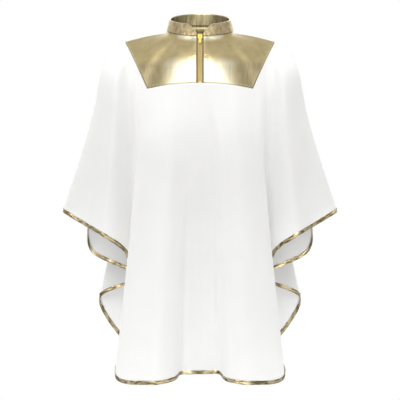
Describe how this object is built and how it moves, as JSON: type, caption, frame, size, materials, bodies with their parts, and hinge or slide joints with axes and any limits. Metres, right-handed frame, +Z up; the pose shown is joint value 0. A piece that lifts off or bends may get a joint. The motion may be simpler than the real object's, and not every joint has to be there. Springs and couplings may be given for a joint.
{
  "type": "chasuble",
  "caption": "Short white chasuble with winged sleeves, a metallic gold yoke and stand collar, a front zip and gold-bound hems, shown hanging as worn.",
  "frame": {"origin": "centre of the neck base, at the height of the side neck seam, where the wearer's shoulders carry the garment", "axes": "+Z up, -Y the way the front faces, +X to the wearer's left"},
  "size_m": [0.6462, 0.3094, 0.8611],
  "materials": {
    "white_cloth": "smooth matte crepe",
    "gold_lame": "soft metallic lame with a fine grain",
    "gold_binding": "crinkled metallic foil binding",
    "zip_tape": "woven tape",
    "zip_metal": "satin teeth",
    "slider_metal": "polished"
  },
  "bodies": {
    "garment": {"front_panel": "white_cloth", "back_panel": "white_cloth", "wing_front_left": "white_cloth", "wing_front_right": "white_cloth", "wing_back_left": "white_cloth", "wing_back_right": "white_cloth", "yoke_front_left": "gold_lame", "yoke_front_right": "gold_lame", "yoke_back": "gold_lame", "back_neck_facing": "gold_lame", "collar_outer": "gold_lame", "collar_lining": "gold_lame", "front_hem_binding": "gold_binding", "back_hem_binding": "gold_binding", "wing_front_binding_left": "gold_binding", "wing_front_binding_right": "gold_binding", "wing_back_binding_left": "gold_binding", "wing_back_binding_right": "gold_binding", "zip_tape_left": "zip_tape", "zip_tape_right": "zip_tape", "zip_teeth_left": "zip_metal", "zip_teeth_right": "zip_metal", "zip_top_stop_left": "zip_metal", "zip_top_stop_right": "zip_metal", "zip_bottom_stop": "zip_metal"},
    "slider": {"zip_slider": "slider_metal"},
    "pull": {"zip_pull": "slider_metal"}
  },
  "joints": [
    {"name": "zip_slide", "type": "slide", "parent": "garment", "child": "slider", "axis": [0, -0.4042, -0.9147], "range_m": [0, 0.1]},
    {"name": "pull_swing", "type": "hinge", "parent": "slider", "child": "pull", "pos_m": [0, -0.07972, -0.02651], "axis": [-1, 0, 0], "range_deg": [0, 150]}
  ]
}
